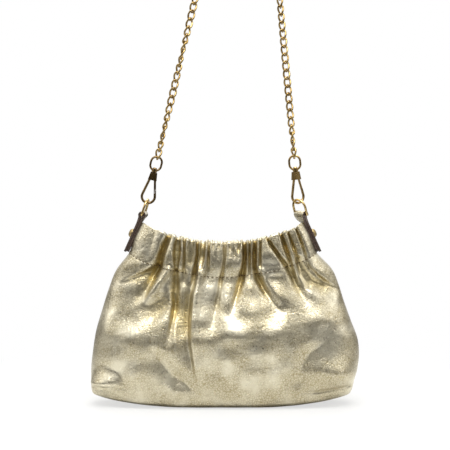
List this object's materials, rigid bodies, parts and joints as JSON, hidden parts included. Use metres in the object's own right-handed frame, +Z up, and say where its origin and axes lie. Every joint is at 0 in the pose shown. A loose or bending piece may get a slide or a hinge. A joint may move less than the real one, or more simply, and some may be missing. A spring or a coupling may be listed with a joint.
{
  "type": "chain shoulder bag",
  "caption": "Soft gathered leather shoulder bag with an elastic mouth, a magnetic snap and a curb-chain strap that swivel snap hooks clip to D-rings in riveted side tabs.",
  "frame": {"origin": "middle of the strap's top link, where the strap hangs", "axes": "+X along the bag's width, +Y from its front to its back, +Z up the strap"},
  "size_m": [0.2544, 0.082, 0.5235],
  "materials": {
    "chain": "antique gold plate, satin",
    "left_hook_metal": "dark antique gold plate",
    "right_hook_metal": "light antique gold plate",
    "ring_metal": "pale gold plate",
    "spring_steel": "bare spring steel",
    "tab_leather": "gold foil face, dark brown edges",
    "foil_leather": "champagne gold foil, fine crackle grain",
    "elastic": "woven elastic",
    "snap_metal": "plated steel",
    "board": "stiff bag board",
    "lining_cloth": "plain weave"
  },
  "bodies": {
    "strap": {"hang_link": "chain", "left_chain": "chain", "right_chain": "chain", "left_swivel_eye": "left_hook_metal", "right_swivel_eye": "right_hook_metal"},
    "bag": {"front_panel": "foil_leather", "back_panel": "foil_leather", "base_panel": "foil_leather", "front_casing": "foil_leather", "back_casing": "foil_leather", "front_elastic": "elastic", "back_elastic": "elastic", "front_snap": "snap_metal", "back_snap": "snap_metal", "front_snap_washer": "snap_metal", "back_snap_washer": "snap_metal", "base_board": "board", "lining": "lining_cloth", "slip_pocket": "lining_cloth", "left_tab": "tab_leather", "left_rivet": "ring_metal", "left_rivet_cap": "ring_metal", "right_tab": "tab_leather", "right_rivet": "ring_metal", "right_rivet_cap": "ring_metal"},
    "left_hook": {"left_hook": "left_hook_metal", "left_gate_pin": "left_hook_metal", "left_gate_spring": "spring_steel"},
    "left_gate": {"left_gate": "left_hook_metal"},
    "left_ring": {"left_d_ring": "ring_metal"},
    "right_hook": {"right_hook": "right_hook_metal", "right_gate_pin": "right_hook_metal", "right_gate_spring": "spring_steel"},
    "right_gate": {"right_gate": "right_hook_metal"},
    "right_ring": {"right_d_ring": "ring_metal"}
  },
  "joints": [
    {"name": "bag_swing", "type": "hinge", "parent": "strap", "child": "bag", "pos_m": [-0.02266, 0, -0.32689], "axis": [1, 0, 0], "range_deg": [-60, 30]},
    {"name": "left_swivel", "type": "hinge", "parent": "strap", "child": "left_hook", "pos_m": [-0.09496, 0, -0.32689], "axis": [0.2341, 0, 0.9722], "range_deg": [-25, 25]},
    {"name": "left_gate", "type": "hinge", "parent": "left_hook", "child": "left_gate", "pos_m": [-0.08707, 0, -0.30235], "axis": [0, 1, 0], "range_deg": [0, 25], "stiffness_Nm_per_rad": 0.004, "springref_deg": -34.38, "deforming": ["left_gate_spring"]},
    {"name": "left_ring", "type": "hinge", "parent": "bag", "child": "left_ring", "pos_m": [-0.09862, 0.00051, -0.33825], "axis": [-0.1392, -0.9903, 0], "range_deg": [-5, 5]},
    {"name": "right_swivel", "type": "hinge", "parent": "strap", "child": "right_hook", "pos_m": [0.04964, 0, -0.32689], "axis": [-0.0953, 0, 0.9955], "range_deg": [-25, 25]},
    {"name": "right_gate", "type": "hinge", "parent": "right_hook", "child": "right_gate", "pos_m": [0.04888, 0.0009, -0.30114], "axis": [-0.4673, 0.8829, -0.0447], "range_deg": [0, 25], "stiffness_Nm_per_rad": 0.004, "springref_deg": -34.38, "deforming": ["right_gate_spring"]},
    {"name": "right_ring", "type": "hinge", "parent": "bag", "child": "right_ring", "pos_m": [0.05238, 0.00247, -0.33825], "axis": [-0.6691, 0.7431, 0], "range_deg": [-3, 5]}
  ]
}
